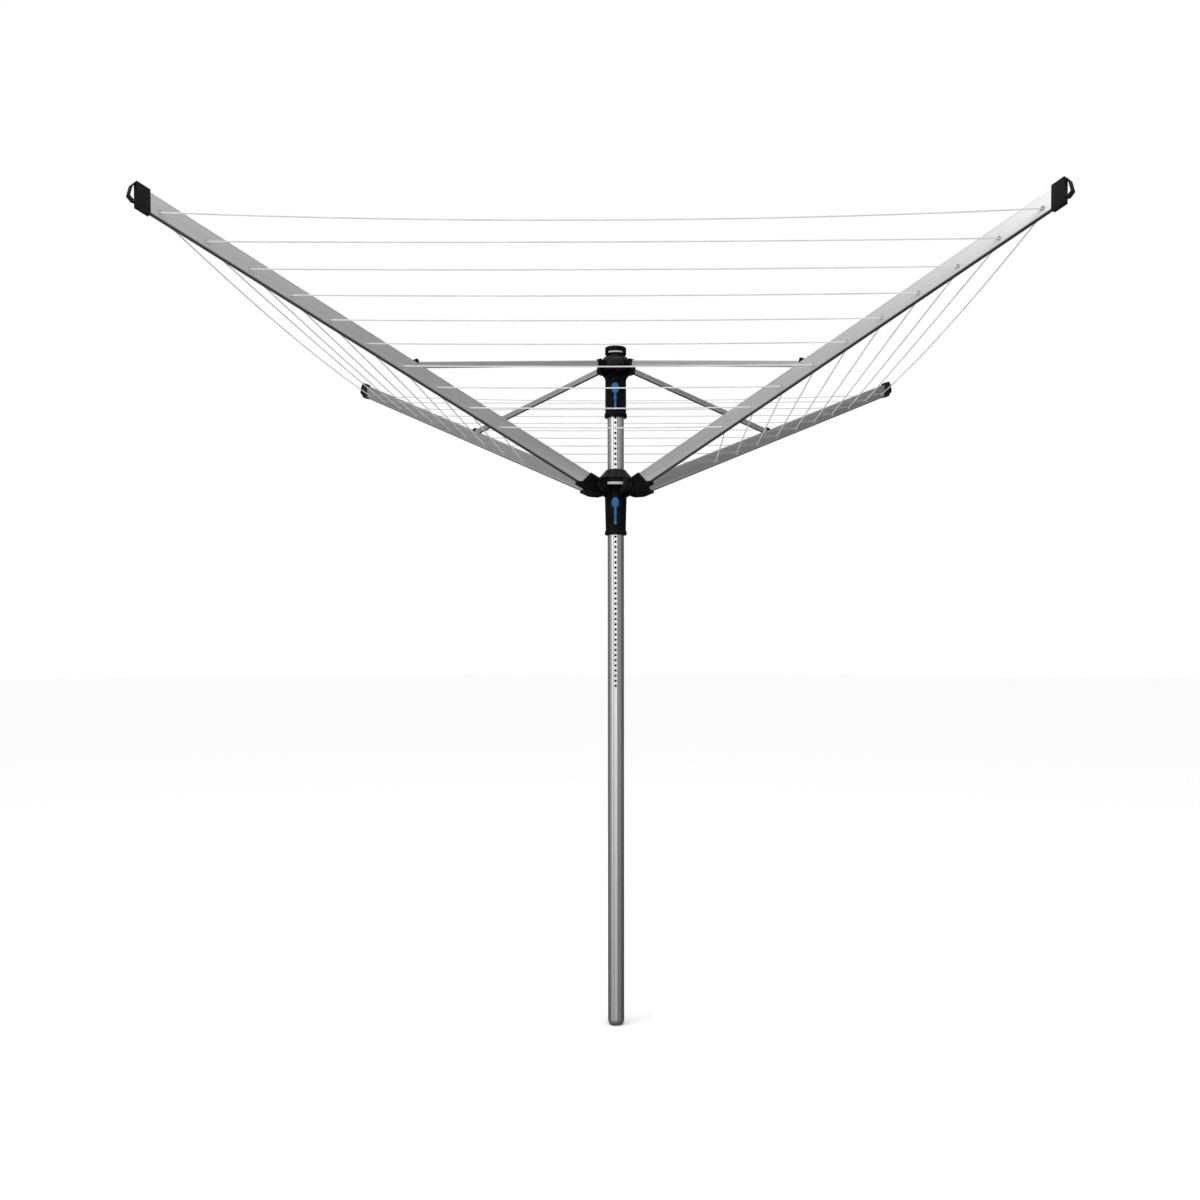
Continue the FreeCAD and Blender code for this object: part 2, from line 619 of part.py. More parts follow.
# --- Lower hub --------------------------------------------------------------------------------------
def lower_housing():
    bottom = LOWER_HUB_BOTTOM
    body = lathe([
        (BUSH_R, bottom), (32.6, bottom), (33.6, bottom + 2), (33.6, bottom + 8), (30.8, bottom + 16),
        (33.3, 1620), (36.8, 1639.5, LOWER_RIM_R, LOWER_RIM_BOTTOM), (LOWER_RIM_R, LOWER_HUB_TOP),
        (BUSH_R, LOWER_HUB_TOP),
    ])
    cheek_outline = [
        (26, 1618), (48, 1628), (78, 1636), (88.5, 1650), (86.5, 1662.0),
        (82.8, 1668.8, 75.0, 1671.9), (56, 1675.4), (26, 1675.4),
    ]
    cheek = plate(cheek_outline, LUG_GAP_HALF + LUG_THICK)
    cheek = cheek.cut(box(0, 100, -LUG_GAP_HALF, LUG_GAP_HALF, 1600, 1700))
    gap = box(42, 100, -LUG_GAP_HALF, LUG_GAP_HALF, 1600, 1674)
    for lug in all_round(cheek):
        body = body.fuse(lug)
    body = body.fuse(lever_cheeks(LOWER_LATCH_HOLE))
    body = body.cut(Part.makeCompound(all_round(gap)))
    pin = rod_across(ARM_PIN_R, ARM_PIVOT_R, ARM_PIVOT_Z, 30.0)
    screw = upright(SCREW_R, LOWER_SCREW_AT, LOWER_SCREW_SEAT - 1, LOWER_HUB_TOP + 1)
    seat = upright(SCREW_SEAT_R, LOWER_SCREW_AT, 1630, LOWER_SCREW_SEAT)
    body = body.cut(Part.makeCompound(all_round(pin))).cut(at_screws(screw)).cut(at_screws(seat))
    body = body.cut(lever_room(LOWER_LATCH_HOLE)).cut(lever_pin(LOWER_LATCH_HOLE))
    return body.cut(Part.makeCylinder(BUSH_R, 300, Vector(0, 0, 1450)))


def lower_cover():
    """The conical cover over the lugs, open above for the post."""
    bore = POST_R + 0.6
    shell = lathe([
        (bore, 1698.0), (28.0, 1698.0), (38.4, 1686.6, 49.6, LOWER_HUB_TOP), (53.4, LOWER_HUB_TOP),
        (40.6, 1689.0, 29.5, 1702.0), (bore, 1703.0),
    ])
    boss = upright(4.0, LOWER_SCREW_AT, LOWER_HUB_TOP, 1688.5)
    hole = upright(SCREW_R, LOWER_SCREW_AT, LOWER_HUB_TOP - 1, LOWER_SCREW_TIP)
    return shell.fuse(at_screws(boss)).cut(at_screws(hole))


def lower_screws():
    shank = upright(SCREW_R, LOWER_SCREW_AT, LOWER_SCREW_SEAT, LOWER_SCREW_TIP)
    head = upright(SCREW_HEAD_R, LOWER_SCREW_AT, LOWER_SCREW_SEAT - SCREW_HEAD, LOWER_SCREW_SEAT)
    return at_screws(shank.fuse(head))


def arm_pin_stubs():
    """Eight headed stubs, one in each cheek, on the arms' pivot axes."""
    outer = LUG_GAP_HALF + LUG_THICK
    stubs = []
    for side in (-1, 1):
        start = (ARM_PIVOT_R, side * LUG_GAP_HALF, ARM_PIVOT_Z)
        shoulder = (ARM_PIVOT_R, side * outer, ARM_PIVOT_Z)
        end = (ARM_PIVOT_R, side * (outer + ARM_PIN_HEAD), ARM_PIVOT_Z)
        stubs += all_round(rod(ARM_PIN_R, start, shoulder).fuse(rod(ARM_PIN_HEAD_R, shoulder, end)))
    return stubs


def lower_badge():
    """A plain raised plate on the front of the lower hub's rim."""
    outer = LOWER_RIM_R + BADGE_PROUD
    ring = lathe([
        (LOWER_RIM_R, BADGE_BOTTOM), (outer, BADGE_BOTTOM), (outer, BADGE_TOP), (LOWER_RIM_R, BADGE_TOP),
    ])
    return ring.common(box(-BADGE_HALF, BADGE_HALF, -outer, 0, BADGE_BOTTOM, BADGE_TOP))


def main():
    os.makedirs("parts", exist_ok=True)
    save("foot_bearing", foot_bearing())
    save("foot_thrust_washer", thrust_washer())
    save("foot_bush", foot_bush())
    save("post_tube", post())
    save("top_knob", top_knob())
    save("top_knob_inlay", top_knob_inlay())

    save("upper_housing", upper_housing())
    save("upper_cover", upper_cover())
    bush_ends = (UPPER_HUB_BOTTOM + BUSH_INSET, UPPER_HUB_TOP - BUSH_INSET)
    save("upper_slide_bush", slide_bush(*bush_ends, UPPER_LATCH_HOLE))
    save("upper_strut_pins", strut_pins())
    save("upper_cover_screws", upper_screws())
    save("upper_lever_pin", lever_pin(UPPER_LATCH_HOLE))
    save("upper_lever_spring", lever_spring(UPPER_LATCH_HOLE))
    save("upper_release_lever", release_lever(UPPER_LATCH_HOLE))

    save("lower_housing", lower_housing())
    save("lower_cover", lower_cover())
    bush_ends = (LOWER_HUB_BOTTOM + BUSH_INSET, LOWER_HUB_TOP - BUSH_INSET)
    save("lower_slide_bush", slide_bush(*bush_ends, LOWER_LATCH_HOLE))
    save("lower_arm_pin_stubs", arm_pin_stubs())
    save("lower_cover_screws", lower_screws())
    save("lower_badge", lower_badge())
    save("lower_lever_pin", lever_pin(LOWER_LATCH_HOLE))
    save("lower_lever_spring", lever_spring(LOWER_LATCH_HOLE))
    save("lower_release_lever", release_lever(LOWER_LATCH_HOLE))

    arm_parts = {"arm_channel": arm_channel(), "root_socket": root_socket()}
    for name, azimuth in CORNERS.items():
        for part_name, shape in arm_parts.items():
            save(f"{name}_{part_name}", on_arm(shape, azimuth))
        save(f"{name}_eyelets", [on_arm(shape, azimuth) for shape in eyelets()])
        save(f"{name}_arm_rivets", [on_arm(shape, azimuth) for shape in arm_rivets()])
        save(f"{name}_end_cap", turned(end_cap(), azimuth))
        save(f"{name}_strut_bar", on_strut(strut_bar(), azimuth))
        save(f"{name}_strut_inner_end", on_strut(strut_inner_end(), azimuth))
        save(f"{name}_strut_outer_end", on_strut(strut_outer_end(), azimuth))
        save(f"{LINE_SIDES[name]}_lines", side_lines(azimuth))
    print("strut length", round(STRUT_LENGTH, 2), "strut angle", round(STRUT_ANGLE, 3))
    print("rivet radius and height", round(RIVET_R, 2), round(RIVET_Z, 2))


main()
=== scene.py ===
import json
import math

import bmesh
import bpy
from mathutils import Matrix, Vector

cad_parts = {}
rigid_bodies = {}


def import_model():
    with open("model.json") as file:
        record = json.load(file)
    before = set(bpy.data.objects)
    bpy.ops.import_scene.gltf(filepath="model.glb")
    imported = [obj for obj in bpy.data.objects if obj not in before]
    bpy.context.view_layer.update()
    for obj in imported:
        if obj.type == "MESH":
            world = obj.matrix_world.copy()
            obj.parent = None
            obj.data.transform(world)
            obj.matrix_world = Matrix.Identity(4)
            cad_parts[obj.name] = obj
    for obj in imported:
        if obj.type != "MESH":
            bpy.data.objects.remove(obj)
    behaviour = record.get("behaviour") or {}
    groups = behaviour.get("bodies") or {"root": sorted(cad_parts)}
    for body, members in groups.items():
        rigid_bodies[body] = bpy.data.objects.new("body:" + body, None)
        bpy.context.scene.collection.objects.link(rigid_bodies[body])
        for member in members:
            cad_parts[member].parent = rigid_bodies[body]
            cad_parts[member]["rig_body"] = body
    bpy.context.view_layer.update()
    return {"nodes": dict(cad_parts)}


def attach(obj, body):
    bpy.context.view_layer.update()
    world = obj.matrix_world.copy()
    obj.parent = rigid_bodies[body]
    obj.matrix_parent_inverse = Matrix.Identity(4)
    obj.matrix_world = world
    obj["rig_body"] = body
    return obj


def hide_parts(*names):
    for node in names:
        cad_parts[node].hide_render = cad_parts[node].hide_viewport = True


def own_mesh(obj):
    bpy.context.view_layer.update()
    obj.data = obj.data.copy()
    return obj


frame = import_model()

# --- The object's driving dimensions ------------------------------------------------------------
CORNERS = {"front_left": -135.0, "front_right": -45.0, "back_right": 45.0, "back_left": 135.0}
SIDES = {"front_left": "front", "front_right": "right", "back_right": "back", "back_left": "left"}
NEXT_CORNER = {"front_left": "front_right", "front_right": "back_right",
               "back_right": "back_left", "back_left": "front_left"}
ARM_ANGLE = math.radians(20.64)
ARM_PIVOT_R = 0.075
ARM_PIVOT_Z = 1.661
ARM_HALF = 0.007
STRUT_PIVOT_R = 0.042
STRUT_PIVOT_Z = 2.0182
STRUT_ANGLE = math.radians(9.533)
STRUT_HALF = 0.005
GROOVE_HALF = 0.006
GROOVE_SHADE_REACH = 0.0019        # how far the painted shade line reaches each side of the groove's edge
GROOVE_SHADE_CORE = 0.0005   # and how far it is at its fullest
GROOVE_SHADE_FULL = 0.7      # how much of the painted shade's dark colour shows there
GROOVE_SHADE_FRONT_Y = (-0.0205, -0.02)   # in front of this the groove's edges get their painted shade
POST_SHADE_R = 0.0234      # inside this radius the post is painted dark as shade: just outside the tube's inner wall
LINE_COUNT = 10
LINE_PITCH = 0.112
LINE_FIRST = 1.393          # the outermost hole, along the arm
LINE_DROP = 0.0225          # the holes lie this far below the pivot line
LINE_R = 0.00175
OUTER_SAG = 0.021           # of the outermost line, at its middle
INNER_SAG = 0.005
LINE_BEND = 0.006           # from a corner to where its bend ends
LINE_SIDES = 8
HALF_LINE_STEPS = 12
KNOT_SIZE = 0.0055
KNOT_STEPS = 24
# beads drawn along the arms: height above the pivot line, width and how proud
ARM_BEADS = ((0.0052, 0.0026, 0.0003), (-0.0300, 0.0024, 0.00025))
ARM_BEAD_START = 0.085
ARM_BEAD_END = 1.395
STRUT_BEAD = (-0.0062, 0.0024, 0.0004)
STRUT_BEAD_START = 0.036
STRUT_BEAD_END = 0.672
BEAD_SINK = 0.0001          # a bead's back lies this deep in its bar
# the hoods that carry the upper cover over the strut slots: radius and height
HOOD_PROFILE = ((0.0456, 2.0276), (0.0446, 2.0295), (0.0428, 2.0322), (0.0408, 2.0347), (0.0388, 2.0370))
HOOD_INNER = ((0.0360, 2.0370), (0.0360, 2.0276))
HOOD_HALF_TURN = math.radians(14)
HOOD_STEPS = 10
RIVETS_BLACK_BELOW = 1.75

# --- Camera, floor and light --------------------------------------------------------------------
CAMERA_DISTANCE = 3.657
CAMERA_AZIMUTH = math.radians(2.11)
CAMERA_HEIGHT = 1.1758
CAMERA_PITCH = math.radians(-1.86)
CAMERA_TURN = math.radians(0.72)
CAMERA_LENS = 35.84
CAMERA_SHIFT = (-0.0374, 0.0683)
FLOOR_R = 40.0
DOME_STRENGTH = 2.5
# the dome's level by the height of a direction, from straight down to straight up
DOME_BY_HEIGHT = ((-1.0, 0.025), (-0.5, 0.06), (-0.25, 0.13), (-0.05, 0.2), (0.13, 0.18), (0.22, 0.24),
                  (0.34, 0.375), (0.6, 0.92), (1.0, 1.0))
# and by how far it lies to the right, and to the back
DOME_BY_SIDE = ((-1.0, 1.0), (1.0, 0.58))
DOME_BY_DEPTH = ((-1.0, 1.0), (-0.4, 1.0), (0.0, 0.65), (0.25, 0.2), (0.5, 0.45), (1.0, 0.45))
# a broad soft light low in front, left of the camera
FRONT_LIGHT_TURN = math.radians(-20)
FRONT_LIGHT_INNER = math.radians(24)
FRONT_LIGHT_OUTER = math.radians(44)
FRONT_LIGHT_BY_HEIGHT = ((-1.0, 0.0), (-0.45, 0.1), (-0.2, 0.3), (0.0, 0.8), (0.12, 0.9), (0.35, 0.5),
                         (0.6, 0.0), (1.0, 0.0))
FRONT_LIGHT_LEVEL = 0.4

# --- Rounding of the mouldings ------------------------------------------------------------------
MERGE_DISTANCE = 2e-6
FLAT_ANGLE = math.radians(1.0)
ROUNDED_ANGLE = math.radians(32)
SHARP_ANGLE = math.radians(38)


def grey4(level):
    return (level, level, level, 1)


def stage_camera():
    camera = bpy.data.objects.new("camera", bpy.data.cameras.new("camera"))
    bpy.context.scene.collection.objects.link(camera)
    camera.location = (
        CAMERA_DISTANCE * math.sin(CAMERA_AZIMUTH),
        -CAMERA_DISTANCE * math.cos(CAMERA_AZIMUTH),
        CAMERA_HEIGHT,
    )
    camera.rotation_euler = (math.pi / 2 + CAMERA_PITCH, 0, CAMERA_TURN)
    camera.data.sensor_width = 36
    camera.data.lens = CAMERA_LENS
    camera.data.shift_x, camera.data.shift_y = CAMERA_SHIFT
    bpy.context.scene.camera = camera


def stage_floor():
    bm = bmesh.new()
    bmesh.ops.create_circle(bm, cap_ends=True, segments=96, radius=FLOOR_R)
    mesh = bpy.data.meshes.new("floor")
    bm.to_mesh(mesh)
    bm.free()
    floor = bpy.data.objects.new("floor", mesh)
    bpy.context.scene.collection.objects.link(floor)
    paper = Finish("studio_paper", (0.93, 0.93, 0.93), 0.9)
    paper.tint(paper.noise(paper.axes(40, 40, 40), 3), (0.92, 0.92, 0.92), (0.94, 0.94, 0.94))
    floor.data.materials.append(paper.material)
    floor.visible_glossy = False


def levels_along(tree, value, stops):
    """A grey level by a value from -1 to 1."""
    lift = tree.nodes.new("ShaderNodeMapRange")
    lift.inputs["From Min"].default_value = -1.0
    tree.links.new(value, lift.inputs["Value"])
    ramp = tree.nodes.new("ShaderNodeValToRGB")
    tree.links.new(lift.outputs["Result"], ramp.inputs["Fac"])
    made = ramp.color_ramp.elements
    made[0].color = grey4(stops[0][1])
    made[1].color = grey4(stops[-1][1])
    for place, level in stops[1:-1]:
        made.new((place + 1) / 2).color = grey4(level)
    return ramp.outputs["Color"]


def vector_step(tree, operation, *values):
    step = tree.nodes.new("ShaderNodeVectorMath")
    step.operation = operation
    for socket, value in zip(step.inputs, values):
        if isinstance(value, bpy.types.NodeSocket):
            tree.links.new(value, socket)
        else:
            socket.default_value = value
    return step.outputs["Value" if operation == "DOT_PRODUCT" else "Vector"]


def stage_world():
    """A white backdrop, and a dome that is brighter overhead, to the left and in front."""
    world = bpy.data.worlds.new("studio")
    bpy.context.scene.world = world
    world.use_nodes = True
    tree = world.node_tree
    tree.nodes.clear()
    direction = tree.nodes.new("ShaderNodeTexCoord").outputs["Generated"]
    split = tree.nodes.new("ShaderNodeSeparateXYZ")
    tree.links.new(direction, split.inputs[0])
    level = levels_along(tree, split.outputs["Z"], DOME_BY_HEIGHT)
    level = vector_step(tree, "MULTIPLY", level, levels_along(tree, split.outputs["X"], DOME_BY_SIDE))
    level = vector_step(tree, "MULTIPLY", level, levels_along(tree, split.outputs["Y"], DOME_BY_DEPTH))

    level_way = vector_step(tree, "NORMALIZE", vector_step(tree, "MULTIPLY", direction, (1, 1, 0)))
    toward = (math.sin(FRONT_LIGHT_TURN), -math.cos(FRONT_LIGHT_TURN), 0)
    spread = tree.nodes.new("ShaderNodeMapRange")
    spread.interpolation_type = "SMOOTHSTEP"
    spread.inputs["From Min"].default_value = math.cos(FRONT_LIGHT_OUTER)
    spread.inputs["From Max"].default_value = math.cos(FRONT_LIGHT_INNER)
    tree.links.new(vector_step(tree, "DOT_PRODUCT", level_way, toward), spread.inputs["Value"])
    front = levels_along(tree, split.outputs["Z"], FRONT_LIGHT_BY_HEIGHT)
    front = vector_step(tree, "MULTIPLY", front, spread.outputs["Result"])
    level = vector_step(tree, "ADD", level, vector_step(tree, "MULTIPLY", front, (FRONT_LIGHT_LEVEL,) * 3))

    dome = tree.nodes.new("ShaderNodeBackground")
    dome.inputs["Strength"].default_value = DOME_STRENGTH
    tree.links.new(level, dome.inputs["Color"])
    backdrop = tree.nodes.new("ShaderNodeBackground")
    backdrop.inputs["Color"].default_value = grey4(1)
    path = tree.nodes.new("ShaderNodeLightPath")
    mix = tree.nodes.new("ShaderNodeMixShader")
    output = tree.nodes.new("ShaderNodeOutputWorld")
    tree.links.new(path.outputs["Is Camera Ray"], mix.inputs["Fac"])
    tree.links.new(dome.outputs[0], mix.inputs[1])
    tree.links.new(backdrop.outputs[0], mix.inputs[2])
    tree.links.new(mix.outputs[0], output.inputs["Surface"])


def softbox(name, place, target, width, height, power):
    light = bpy.data.objects.new(name, bpy.data.lights.new(name, "AREA"))
    light.data.shape = "RECTANGLE"
    light.data.size = width
    light.data.size_y = height
    light.data.energy = power
    light.location = place
    light.rotation_euler = (Vector(target) - Vector(place)).to_track_quat("-Z", "Y").to_euler()
    bpy.context.scene.collection.objects.link(light)


def stage_lights():
    softbox("key", (-3.2, -3.4, 3.4), (0, 0, 1.2), 2.4, 2.4, 12)
    softbox("overhead", (0.0, 0.3, 5.2), (0, 0, 0), 2.2, 2.2, 30)


# --- Materials ----------------------------------------------------------------------------------
class Finish:
    """A procedural material: noise drives the colour, roughness and bump of one shader."""

    def __init__(self, name, colour, roughness, metallic=0.0, coat=0.0, specular=0.5):
        self.material = bpy.data.materials.new(name)
        self.material.use_nodes = True
        self.tree = self.material.node_tree
        self.shader = self.tree.nodes["Principled BSDF"]
        self.shader.inputs["Base Color"].default_value = (*colour, 1)
        self.shader.inputs["Roughness"].default_value = roughness
        self.shader.inputs["Metallic"].default_value = metallic
        self.shader.inputs["Specular IOR Level"].default_value = specular
        self.shader.inputs["Coat Weight"].default_value = coat
        self.shader.inputs["Coat Roughness"].default_value = 0.25

    def node(self, kind, **inputs):
        made = self.tree.nodes.new(kind)
        for name, value in inputs.items():
            socket = made.inputs[name.replace("_", " ")]
            if isinstance(value, bpy.types.NodeSocket):
                self.tree.links.new(value, socket)
            else:
                socket.default_value = value
        return made

    def axes(self, x, y, z, frame_axes=((1, 0, 0), (0, 1, 0), (0, 0, 1))):
        """The object's own coordinates along three axes, each stretched to so many features a metre."""
        place = self.node("ShaderNodeTexCoord").outputs["Object"]
        combined = self.node("ShaderNodeCombineXYZ")
        for socket, axis, density in zip(combined.inputs, frame_axes, (x, y, z)):
            dot = self.tree.nodes.new("ShaderNodeVectorMath")
            dot.operation = "DOT_PRODUCT"
            self.tree.links.new(place, dot.inputs[0])
            dot.inputs[1].default_value = Vector(axis) * density
            self.tree.links.new(dot.outputs["Value"], socket)
        return combined.outputs[0]

    def noise(self, vector, detail=2.0, roughness=0.5):
        return self.node("ShaderNodeTexNoise", Vector=vector, Scale=1.0, Detail=detail,
                         Roughness=roughness).outputs["Fac"]

    def levels(self, factor, low, high, start=0.3, end=0.7):
        """The factor spread from start..end to low..high."""
        return self.node("ShaderNodeMapRange", Value=factor, From_Min=start, From_Max=end,
                         To_Min=low, To_Max=high).outputs["Result"]

    def tint(self, factor, dark, light, start=0.3, end=0.7):
        ramp = self.node("ShaderNodeValToRGB", Fac=factor)
        for stop, position, colour in zip(ramp.color_ramp.elements, (start, end), (dark, light)):
            stop.position = position
            stop.color = (*colour, 1)
        self.tree.links.new(ramp.outputs["Color"], self.shader.inputs["Base Color"])
        return ramp.outputs["Color"]

    def overlay(self, colour, factor, other):
        """Another colour laid over the first where the factor is high."""
        mix = self.tree.nodes.new("ShaderNodeMix")
        mix.data_type = "RGBA"
        self.tree.links.new(factor, mix.inputs["Factor"])
        self.tree.links.new(colour, mix.inputs[6])
        mix.inputs[7].default_value = (*other, 1)
        self.tree.links.new(mix.outputs[2], self.shader.inputs["Base Color"])
        return mix.outputs[2]

    def gloss(self, factor, low, high, start=0.3, end=0.7):
        self.tree.links.new(self.levels(factor, low, high, start, end), self.shader.inputs["Roughness"])

    def relief(self, factor, depth, strength=1.0):
        """Fine relief of this depth."""
        bump = self.node("ShaderNodeBump", Height=factor, Strength=strength, Distance=depth)
        self.tree.links.new(bump.outputs["Normal"], self.shader.inputs["Normal"])

    def worn_edges(self, colour, other, start=0.53, end=0.62):
        """Edges rubbed a little paler."""
        sharp = self.node("ShaderNodeNewGeometry").outputs["Pointiness"]
        return self.overlay(colour, self.levels(sharp, 0.0, 1.0, start, end), other)


def grey(level):
    return (level, level, level * 1.01)


def painted_groove_shade(finish, colour, level):
    """Painted shade: darker lines where the post's front groove meets its round wall, standing in for the
    shade at the groove's edges.
    """
    place = finish.node("ShaderNodeSeparateXYZ", Vector=finish.node("ShaderNodeTexCoord").outputs["Object"])
    aside = finish.node("ShaderNodeMath", Value=place.outputs["X"])
    aside.operation = "ABSOLUTE"
    from_corner = finish.node("ShaderNodeMath", Value=aside.outputs[0])
    from_corner.operation = "SUBTRACT"
    from_corner.inputs[1].default_value = GROOVE_HALF
    away = finish.node("ShaderNodeMath", Value=from_corner.outputs[0])
    away.operation = "ABSOLUTE"
    near = finish.levels(away.outputs[0], GROOVE_SHADE_FULL, 0.0, GROOVE_SHADE_CORE, GROOVE_SHADE_REACH)
    front = finish.levels(place.outputs["Y"], 1.0, 0.0, *GROOVE_SHADE_FRONT_Y)
    both = finish.node("ShaderNodeMath", Value=near)
    both.operation = "MULTIPLY"
    finish.tree.links.new(front, both.inputs[1])
    # painted shade: the groove's edges darkened to a third of the aluminium's level
    return finish.overlay(colour, both.outputs[0], grey(level * 0.3))


def aluminium(name, along, across, level, roughness, painted_shade_r=None):
    """Drawn, satin-anodised aluminium: fine die lines along the bar, and a few dull handling marks.

    With a radius given, the metal within it of the post's axis is painted near black: painted shade for the
    inside of the tube. The groove's edges then get painted shade lines too.
    """
    finish = Finish(name, grey(level), roughness, metallic=1.0)
    third = Vector(along).cross(Vector(across))
    frame_axes = (along, across, third)
    lines = finish.noise(finish.axes(2.5, 900, 900, frame_axes), 3)
    bands = finish.noise(finish.axes(0.8, 70, 70, frame_axes), 2)
    marks = finish.noise(finish.axes(14, 30, 30, frame_axes), 4, 0.6)
    colour = finish.tint(bands, grey(level * 0.93), grey(level * 1.04))
    colour = finish.overlay(colour, finish.levels(marks, 0.0, 0.25, 0.56, 0.75), grey(level * 0.86))
    if painted_shade_r:
        # painted shade along the groove's edges
        colour = painted_groove_shade(finish, colour, level)
        # painted shade: within the radius the tube's inside is darkened to near black
        place = finish.node("ShaderNodeTexCoord").outputs["Object"]
        flat = vector_step(finish.tree, "MULTIPLY", place, (1, 1, 0))
        reach = finish.tree.nodes.new("ShaderNodeVectorMath")
        reach.operation = "LENGTH"
        finish.tree.links.new(flat, reach.inputs[0])
        inside = finish.levels(reach.outputs["Value"], 1.0, 0.0, painted_shade_r, painted_shade_r + 0.0001)
        finish.overlay(colour, inside, grey(0.03))
    mixed = finish.node("ShaderNodeMath", Value=lines)
    mixed.operation = "ADD"
    finish.tree.links.new(marks, mixed.inputs[1])
    finish.gloss(mixed.outputs[0], roughness - 0.04, roughness + 0.06, 0.7, 1.3)
    finish.relief(lines, 0.00006, 0.5)
    return finish.material


def black_moulding(name, level, roughness, grain=1800.0, coat=0.0):
    """Glass-filled nylon with a fine spark-eroded grain, faint flow marks and slightly rubbed edges."""
    finish = Finish(name, grey(level), roughness, coat=coat, specular=0.07)
    flow = finish.noise(finish.axes(25, 25, 60), 3)
    fine = finish.noise(finish.axes(grain, grain, grain), 2)
    colour = finish.tint(flow, grey(level * 0.8), grey(level * 1.25))
    finish.worn_edges(colour, grey(level * 2.5 + 0.004))
    finish.gloss(flow, roughness - 0.05, roughness + 0.08)
    finish.relief(fine, 0.00008, 0.45)
    return finish.material


def blue_moulding():
    finish = Finish("blue_plastic", (0.011, 0.095, 0.26), 0.36, specular=0.3)
    flow = finish.noise(finish.axes(60, 60, 90), 3)
    fine = finish.noise(finish.axes(2200, 2200, 2200), 2)
    colour = finish.tint(flow, (0.009, 0.088, 0.24), (0.014, 0.112, 0.3))
    finish.worn_edges(colour, (0.04, 0.18, 0.42))
    finish.gloss(flow, 0.3, 0.42)
    finish.relief(fine, 0.00005, 0.4)
    return finish.material


def pale_moulding(name, dark, light, roughness):
    """Natural, slightly cloudy plastic."""
    finish = Finish(name, light, roughness)
    cloud = finish.noise(finish.axes(120, 120, 120), 3)
    finish.tint(cloud, dark, light)
    finish.gloss(cloud, roughness - 0.05, roughness + 0.06)
    finish.relief(finish.noise(finish.axes(1500, 1500, 1500), 2), 0.00004, 0.4)
    return finish.material


def steel(name, level, roughness):
    finish = Finish(name, grey(level), roughness, metallic=1.0)
    spots = finish.noise(finish.axes(500, 500, 500), 4, 0.65)
    finish.tint(spots, grey(level * 0.8), grey(level * 1.08))
    finish.gloss(spots, roughness - 0.07, roughness + 0.1)
    finish.relief(finish.noise(finish.axes(1500, 1500, 1500), 2), 0.00003, 0.4)
    return finish.material


def rivet_steel():
    """Zinc-plated at the struts, black in the black shoes at the arms' inner ends."""
    finish = Finish("steel_rivets", grey(0.6), 0.3, metallic=1.0)
    spots = finish.noise(finish.axes(500, 500, 500), 4, 0.65)
    colour = finish.tint(spots, grey(0.5), grey(0.66))
    height = finish.node("ShaderNodeSeparateXYZ", Vector=finish.node("ShaderNodeTexCoord").outputs["Object"])
    black = finish.levels(height.outputs["Z"], 1.0, 0.0, RIVETS_BLACK_BELOW, RIVETS_BLACK_BELOW + 0.01)
    finish.overlay(colour, black, grey(0.012))
    finish.gloss(spots, 0.24, 0.4)
    finish.relief(finish.noise(finish.axes(1500, 1500, 1500), 2), 0.00003, 0.4)
    return finish.material


def line_coating():
    """PVC-covered line: off-white, a little dusty in patches, with a fine wavy skin."""
    finish = Finish("line_pvc", (0.58, 0.58, 0.57), 0.42)
    dust = finish.noise(finish.axes(9, 9, 9), 4, 0.6)
    finish.tint(dust, (0.5, 0.5, 0.495), (0.63, 0.63, 0.62))
    finish.gloss(dust, 0.36, 0.5)
    finish.relief(finish.noise(finish.axes(900, 900, 900), 2), 0.0002, 0.35)
    return finish.material


def arm_axes(azimuth):
    turn = math.radians(azimuth)
    outward = Vector((math.cos(turn), math.sin(turn), 0))
    across = Vector((-math.sin(turn), math.cos(turn), 0))
    up = Vector((0, 0, 1))
    return outward, across, up


def arm_point(azimuth, along, above, across=0.0):
    """A point given in an arm's own frame, with the arm open."""
    outward, side, up = arm_axes(azimuth)
    radius = ARM_PIVOT_R + along * math.cos(ARM_ANGLE) - above * math.sin(ARM_ANGLE)
    height = ARM_PIVOT_Z + along * math.sin(ARM_ANGLE) + above * math.cos(ARM_ANGLE)
    return outward * radius + side * across + up * height


def strut_point(azimuth, along, above, across=0.0):
    """A point given in a strut's own frame, with the arms open."""
    outward, side, up = arm_axes(azimuth)
    radius = STRUT_PIVOT_R + along * math.cos(STRUT_ANGLE) + above * math.sin(STRUT_ANGLE)
    height = STRUT_PIVOT_Z - along * math.sin(STRUT_ANGLE) + above * math.cos(STRUT_ANGLE)
    return outward * radius + side * across + up * height


def bar_axes(point_of, azimuth):
    """Unit vectors along and across a bar."""
    along = point_of(azimuth, 1.0, 0.0) - point_of(azimuth, 0.0, 0.0)
    return along.normalized(), arm_axes(azimuth)[1]


# --- Mesh helpers -------------------------------------------------------------------------------
def new_piece(name, mesh, body, material, slot, *replaced):
    piece = bpy.data.objects.new(name, mesh)
    bpy.context.scene.collection.objects.link(piece)
    mesh.materials.clear()
    mesh.materials.append(material)
    mesh.shade_smooth()
    mesh.set_sharp_from_angle(angle=SHARP_ANGLE)
    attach(piece, body)
    if replaced:
        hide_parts(*replaced)
    return piece


def evaluated_mesh(piece):
    """The piece's mesh with its modifiers applied; the piece itself is removed."""
    graph = bpy.context.evaluated_depsgraph_get()
    mesh = bpy.data.meshes.new_from_object(piece.evaluated_get(graph))
    bpy.data.objects.remove(piece)
    return mesh


